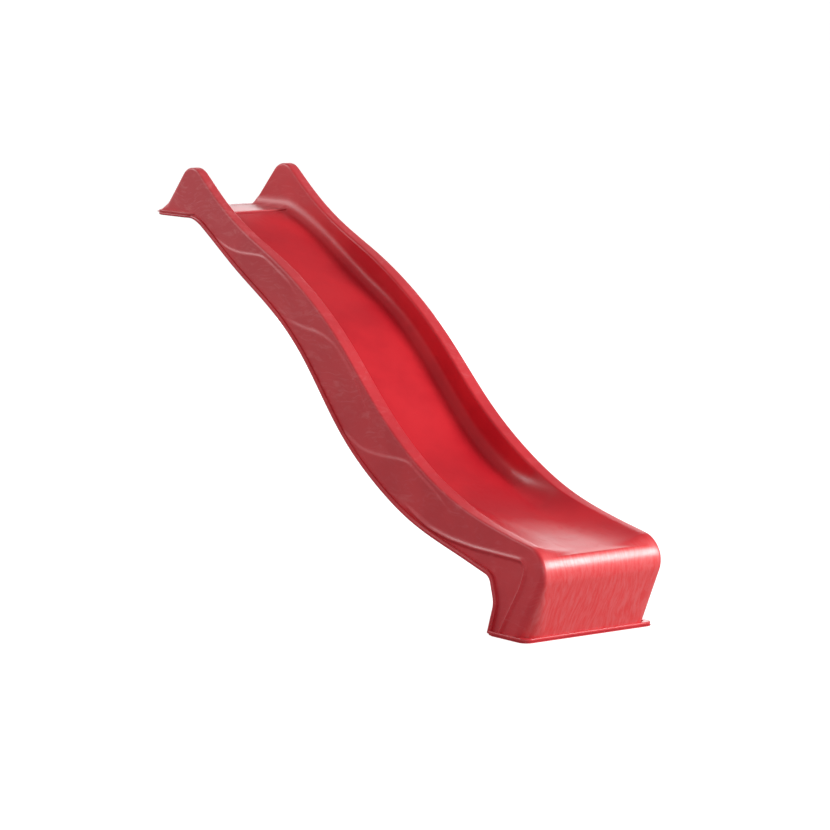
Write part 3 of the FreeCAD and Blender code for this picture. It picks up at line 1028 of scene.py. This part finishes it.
    def paint_chute(self, piece: bpy.types.Object) -> None:
        """Mark where the chute skin is hazed and where the apron's grain runs.

        Args:
            piece: The chute skin.
        """
        view, where = self.view, vertices(piece)
        x, breadth, z = where[:, 0] - self.shift, np.abs(where[:, 1]), where[:, 2]
        inner = view.half_width(view.rim_height(x)) - np.interp(x, view.stations, view.rim_widths)
        outside = smoothstep(0.0, 0.012, breadth - inner)
        foot = smoothstep(1.90, 1.97, x) + smoothstep(0.26, 0.22, z) * (x > 1.7)
        side = smoothstep(0.02, 0.004, view.half_width(z) - breadth)
        lip = smoothstep(0.045, 0.02, x) * smoothstep(1.2, 1.206, z) * smoothstep(1.215, 1.21, z)
        wall = smoothstep(-0.045, -0.02, breadth - inner) * smoothstep(0.5, -0.05, x)
        outer_haze = np.maximum(outside * self.rim_haze, side) * self.worn(x)
        paint(piece, HAZE, np.clip(np.maximum(outer_haze, np.maximum(wall * self.wall_haze, lip)), 0, 1))
        paint(piece, GRAIN, np.clip(foot, 0, 1) * (1 - side))

    def side_panel(self, side: Side) -> bpy.types.Object:
        """Model one outer side wall with the waves that stand out of it.

        Args:
            side: The side that it's on.

        Returns:
            The finished piece.
        """
        view = self.view
        path = view.top_path()
        spacing = column_steps(path, 0.0065, 0.0055) - 0.0015 * smoothstep(1.15, 1.25, path[:, 0])
        path = resample(path, spacing)
        normals, radii = view.inset_directions(path), view.edge_radius(path)
        skirt = self.skirt_depth(path[:, 0], path[:, 1])
        top = path + normals * (radii + skirt)[:, None]
        low = self.panel_foot(path)
        shares = np.linspace(0, 1, self.panel_rows)[None, :, None]
        flat = top[:, None, :] * (1 - shares) + low[:, None, :] * shares
        relief = Waves().height(flat) * smoothstep(0.0, self.crest_margin, shares[..., 0])
        out = view.half_width(flat[..., 1]) + relief
        points = np.stack([flat[..., 0] + self.shift, out * side.value, flat[..., 1]], axis=-1)
        piece = woven_grid(f"side_panel_{side.name.lower()}", points)
        turn_outwards(piece, Vector((0, side.value, 0)))
        bpy.ops.object.mode_set(mode="EDIT")
        bpy.ops.mesh.select_all(action="SELECT")
        bpy.ops.mesh.region_to_loop()
        back = {"value": (0, -side.value * SKIN, 0)}
        bpy.ops.mesh.extrude_edges_move(TRANSFORM_OT_translate=back)
        bpy.ops.mesh.edge_face_add()
        bpy.ops.object.mode_set(mode="OBJECT")
        paint(piece, HAZE, self.worn(vertices(piece)[:, 0] - self.shift))
        return self.finish(piece, 30.0)

    def panel_foot(self, path: Array) -> Array:
        """Pair the panel's upper edge with its lower edge, fanned out round the foot.

        Args:
            path: The upper outline as rows of x and z.

        Returns:
            The point of the lower edge for each row.
        """
        view = self.view
        bottom = view.bottom_path(LIP_REAR)
        inset = 0.003 + 0.008 * smoothstep(0.02, 0.09, bottom[:, 0])
        bottom = bottom + inward_normals(bottom) * inset[:, None]
        fan_top = (path[:, 0] > view.fan_start) | (path[:, 1] < 0.3)
        plain = np.stack([path[:, 0], np.interp(path[:, 0], bottom[:, 0], bottom[:, 1])], axis=1)
        tail = bottom[np.argmax(bottom[:, 0] > path[~fan_top][-1, 0]) :]
        run = np.concatenate([[0], np.cumsum(np.hypot(*np.diff(tail, axis=0).T))])
        fan = path[fan_top]
        along = np.cumsum(np.hypot(*np.diff(np.concatenate([path[~fan_top][-1:], fan]), axis=0).T))
        wanted = along / along[-1] * run[-1]
        plain[fan_top] = np.stack([np.interp(wanted, run, tail[:, axis]) for axis in (0, 1)], axis=1)
        return plain

    def weld_bead(self, side: Side) -> bpy.types.Object:
        """Model the bead along the lower edge of one side, which starts as the lip's flange.

        Args:
            side: The side that it's on.

        Returns:
            The finished piece.
        """
        section = BeadSection()
        path = self.view.bottom_path(LIP_REAR + section.start_gap)
        path = resample(path, column_steps(path, 0.010, 0.005))
        ring = np.array(section.ring(self.view, path))
        points = ring.transpose(1, 0, 2) * np.array([1, side.value, 1])
        points[..., 0] += self.shift
        piece = woven_grid(f"weld_bead_{side.name.lower()}", points)
        bpy.ops.object.mode_set(mode="EDIT")
        bpy.ops.mesh.select_all(action="SELECT")
        bpy.ops.mesh.remove_doubles(threshold=section.merge)
        bpy.ops.mesh.select_all(action="DESELECT")
        bpy.ops.mesh.select_non_manifold()
        bpy.ops.mesh.fill_holes(sides=0)
        bpy.ops.mesh.select_all(action="SELECT")
        bpy.ops.mesh.normals_make_consistent(inside=False)
        bpy.ops.object.mode_set(mode="OBJECT")
        paint(piece, HAZE, np.full(len(piece.data.vertices), self.trim_haze))
        return self.finish(piece, 50.0)

    def lip_plate(self) -> bpy.types.Object:
        """Model the upper plate of the lip, with rounded corners and a soft edge.

        Returns:
            The finished piece.
        """
        front, top = self.view.lip_front, LIP_TOP - self.edge_gap
        middle = ((LIP_REAR + front) / 2 + self.shift, 0.0, (top + LIP_BOTTOM + SKIN) / 2)
        size = (front - LIP_REAR, 2 * (self.view.lip_half - self.lip_gap), top - LIP_BOTTOM - SKIN)
        piece = slab("lip_plate", middle, size)
        bevel_corners(piece, self.view.lip_corner, 16)
        self.drill(piece, "lip_holes")
        soften(piece, self.lip_edge, 3)
        paint(piece, HAZE, np.ones(len(piece.data.vertices)))
        return self.finish(piece, 40.0)

    @staticmethod
    def drill(piece: bpy.types.Object, mount: str) -> None:
        """Cut a mount's holes through the active piece.

        Args:
            piece: The piece.
            mount: The mount's name in the record.
        """
        record = next(m for m in frame["record"]["mounts"] if m["name"] == mount)
        radius = record["dims"]["hole_r_mm"] / 1000
        for sign in (-1, 1):
            x, y, z = record["pos_m"]
            place = (x, y + sign * record["dims"]["spacing_y_mm"] / 2000, z)
            deselect()
            bpy.ops.mesh.primitive_cylinder_add(vertices=40, radius=radius, depth=0.05, location=place)
            bit = bpy.context.object
            deselect()
            piece.select_set(True)
            bpy.context.view_layer.objects.active = piece
            cut = piece.modifiers.new("hole", "BOOLEAN")
            cut.object = bit
            cut.operation = "DIFFERENCE"
            apply_modifiers(piece)
            bpy.data.objects.remove(bit)

    def foot_flange(self) -> bpy.types.Object:
        """Model the narrow flange round the foot, which is open in the middle.

        Returns:
            The finished piece.
        """
        view = self.view
        low, high = SOLE_TOP, self.flange_top
        rear, front = view.foot_rear[0] + SKIN, view.apron_base[0] + self.flange_out
        middle = ((rear + front) / 2 + self.shift, 0.0, (low + high) / 2)
        size = (front - rear, 2 * (view.foot_half + self.flange_out), high - low)
        piece = slab("foot_flange", middle, size)
        bevel_corners(piece, self.flange_corner, 12, lambda x: x > middle[0])
        clear_marks("FACE")
        for face in piece.data.polygons:
            face.select = abs(face.normal.z) > 0.9
        bpy.ops.object.mode_set(mode="EDIT")
        bpy.ops.mesh.inset(thickness=self.flange_width, depth=0.0)
        bpy.ops.mesh.bridge_edge_loops()
        bpy.ops.object.mode_set(mode="OBJECT")
        soften(piece, self.flange_edge, 4)
        paint(piece, HAZE, np.full(len(piece.data.vertices), self.trim_haze))
        return self.finish(piece, 40.0)


@dataclass(frozen=True)
class Waves:
    """The waves on the side walls: each line is a crest that falls away gently below it."""

    crests: tuple[tuple[Point, ...], ...] = (
        ((0.120, 1.152), (0.190, 1.122), (0.263, 1.100), (0.340, 1.094), (0.414, 1.093), (0.480, 1.082),
         (0.550, 1.048), (0.609, 1.005), (0.655, 0.957)),
        ((0.540, 0.900), (0.609, 0.888), (0.690, 0.874), (0.777, 0.863), (0.860, 0.833), (0.930, 0.788),
         (0.985, 0.722), (1.025, 0.660), (1.075, 0.600)),
        ((0.850, 0.630), (0.900, 0.573), (0.952, 0.540), (1.008, 0.514), (1.070, 0.501), (1.142, 0.497),
         (1.220, 0.497), (1.300, 0.486), (1.370, 0.453), (1.435, 0.403), (1.500, 0.355)),
    )
    panel: tuple[Point, ...] = (
        (1.230, 0.366), (1.392, 0.296), (1.499, 0.274), (1.625, 0.262), (1.900, 0.254), (1.868, 0.168),
        (1.757, -0.010),
    )
    panel_radii: tuple[float, ...] = (0.3, 0.5, 0.5, 0.030, 0.16)
    crest_height: float = 0.0042
    crest_rise: float = 0.0065
    crest_fall: float = 0.060
    bead_height: float = 0.0062
    bead_width: float = 0.0068
    sunk: float = -0.0008
    sunk_over: float = 0.012

    @staticmethod
    def measured(line: Array, flat: Array) -> tuple[Array, Array]:
        """Measure points of the side view against a line.

        Args:
            line: The line as rows of x and z.
            flat: The points as columns x rows x 2 numbers.

        Returns:
            Each point's distance from the line, positive to its right, and its share along it.
        """
        starts, runs = line[:-1], np.diff(line, axis=0)
        squares = (runs**2).sum(axis=1)
        lengths = np.concatenate([[0], np.cumsum(np.sqrt(squares))])
        nearest = np.full(flat.shape[:2], np.inf)
        signed, share = np.zeros_like(nearest), np.zeros_like(nearest)
        for number, (start, run, square) in enumerate(zip(starts, runs, squares)):
            offset = flat - start
            part = np.clip((offset @ run) / square, 0, 1)
            gap = offset - part[..., None] * run
            distance = np.hypot(gap[..., 0], gap[..., 1])
            right = run[1] * offset[..., 0] - run[0] * offset[..., 1]
            closer = distance < nearest
            nearest = np.where(closer, distance, nearest)
            signed = np.where(closer, np.copysign(distance, right), signed)
            along = (lengths[number] + part * math.sqrt(square)) / lengths[-1]
            share = np.where(closer, along, share)
        return signed, share

    def height(self, flat: Array) -> Array:
        """Return how far the wall stands out.

        Args:
            flat: Points of the side view as columns x rows x 2 numbers.

        Returns:
            The relief at each.
        """
        total = np.zeros(flat.shape[:2])
        for crest in self.crests:
            knots = np.array(crest)
            xs = np.linspace(knots[0, 0], knots[-1, 0], 60)
            slopes = np.diff(knots[:, 1]) / np.diff(knots[:, 0])
            line = SmoothLine(tuple(knots[:, 0]), tuple(knots[:, 1]), slopes[0], slopes[-1])
            below, share = self.measured(np.stack([xs, line.at(xs)], axis=1), flat)
            ends = smoothstep(0.0, 0.22, share) * smoothstep(1.0, 0.80, share)
            fall = np.exp(-np.maximum(below, 0) / self.crest_fall)
            rise = smoothstep(-self.crest_rise / 2, self.crest_rise / 2, below)
            total += self.crest_height * rise * fall * ends
        edge = rounded(list(self.panel), list(self.panel_radii), 0.006)
        inside, share = self.measured(edge, flat)
        start = smoothstep(0.0, 0.15, share)
        bead = np.exp(-((inside / self.bead_width) ** 2)) * self.bead_height
        sunk = smoothstep(0.0, self.sunk_over, inside) * self.sunk
        return total + (bead + sunk) * start


@dataclass
class UnderSheet:
    """The lower sheet and its plugs, which keep the CAD model's shapes."""

    red: bpy.types.Material
    plug: bpy.types.Material

    def dress(self) -> None:
        """Give the CAD nodes their finishes."""
        for name, material in (("under_shell", self.red), ("vent_plugs", self.plug)):
            node = frame["nodes"][name]
            node.data.materials.clear()
            node.data.materials.append(material)
            LOG.info("%s: CAD node dressed", name)


@dataclass(frozen=True)
class Lamp:
    """A square lamp that the camera doesn't see."""

    name: str
    place: Place
    size: float
    power: float

    def hang(self, target: Place) -> None:
        """Hang the lamp in its place.

        Args:
            target: The point that it faces.
        """
        deselect()
        bpy.ops.object.light_add(type="AREA", location=self.place)
        lamp = bpy.context.object
        lamp.name = self.name
        lamp.data.size = self.size
        lamp.data.energy = self.power
        aim = Vector(target) - Vector(self.place)
        lamp.rotation_euler = aim.to_track_quat("-Z", "Y").to_euler()
        lamp.visible_camera = False


@dataclass(frozen=True)
class Studio:
    """The floor, the light and the camera."""

    floor_size: float = 500.0
    floor_gap: float = 0.0005
    room: Colour = (0.97, 0.985, 1.0, 1.0)
    room_from: float = 0.14
    room_to: float = 0.60
    room_top: float = 0.22
    lamps: tuple[Lamp, ...] = (
        Lamp("key", (5.5, 4.0, 3.3), 2.4, 570.0),
        Lamp("fill", (5.6, -4.6, 1.9), 3.2, 96.0),
        Lamp("crest", (-4.2, -2.2, 4.0), 2.6, 125.0),
        Lamp("backdrop", (-6.4, 4.9, 1.9), 4.5, 160.0),
    )
    lamp_target: Place = (0.0, 0.0, 0.6)
    azimuth: float = 53.0
    elevation: float = 7.67
    distance: float = 13.0
    lens: float = 171.3
    target: Place = (0.1235, 0.0, 0.596)
    sight: float = 600.0

    def lay_floor(self) -> None:
        """Lay the pale floor under the foot."""
        deselect()
        bpy.ops.mesh.primitive_plane_add(size=self.floor_size, location=(0, 0, -self.floor_gap))
        floor = bpy.context.object
        floor.name = "studio_floor"
        floor.data.materials.append(FloorPaint().material())

    def light_room(self) -> None:
        """Light the room from its horizon, brightest low down and white to the camera."""
        world = bpy.data.worlds.new("studio")
        bpy.context.scene.world = world
        world.use_nodes = True
        nodes = Nodes(world.node_tree)
        rise = nodes.add("SeparateXYZ", {0: nodes.add("TexCoord").outputs["Generated"]}).outputs["Z"]
        glow = nodes.ramp(rise, self.room_from, self.room_to, 1.0, self.room_top)
        seen = nodes.add("LightPath").outputs["Is Camera Ray"]
        sky = nodes.add("Background", {"Color": self.room, "Strength": nodes.maths("MAXIMUM", glow, seen)})
        nodes.add("OutputWorld", {"Surface": sky.outputs[0]})

    def light(self) -> None:
        """Light the room, hang the lamps and show the colours as they are."""
        self.light_room()
        for lamp in self.lamps:
            lamp.hang(self.lamp_target)
        bpy.context.scene.view_settings.view_transform = "Standard"

    def stand_camera(self) -> None:
        """Stand the camera in front of the foot, to the right of the slide."""
        turn, rise = math.radians(self.azimuth), math.radians(self.elevation)
        away = Vector((math.sin(turn) * math.cos(rise), -math.cos(turn) * math.cos(rise), math.sin(rise)))
        deselect()
        bpy.ops.object.camera_add(location=Vector(self.target) + away * self.distance)
        camera = bpy.context.object
        camera.rotation_euler = (-away).to_track_quat("-Z", "Y").to_euler()
        camera.data.lens = self.lens
        camera.data.sensor_width = 36.0
        camera.data.clip_end = self.sight
        bpy.context.scene.camera = camera


def main() -> None:
    """Build the slide, dress it and set the studio round it."""
    logging.basicConfig(level=logging.INFO, format="%(name)s: %(message)s")
    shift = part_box("chute_shell")[0].x - LIP_REAR
    moulding = Moulding(SideView(), shift, RedMoulding("red_polyethylene").material())
    moulding.chute_skin()
    for side in Side:
        moulding.side_panel(side)
        moulding.weld_bead(side)
    moulding.lip_plate()
    moulding.foot_flange()
    under = RedMoulding("red_polyethylene_under", even_haze=0.45).material()
    UnderSheet(under, PlugPlastic().material()).dress()
    studio = Studio()
    studio.lay_floor()
    studio.light()
    studio.stand_camera()


if __name__ == "__main__":
    main()
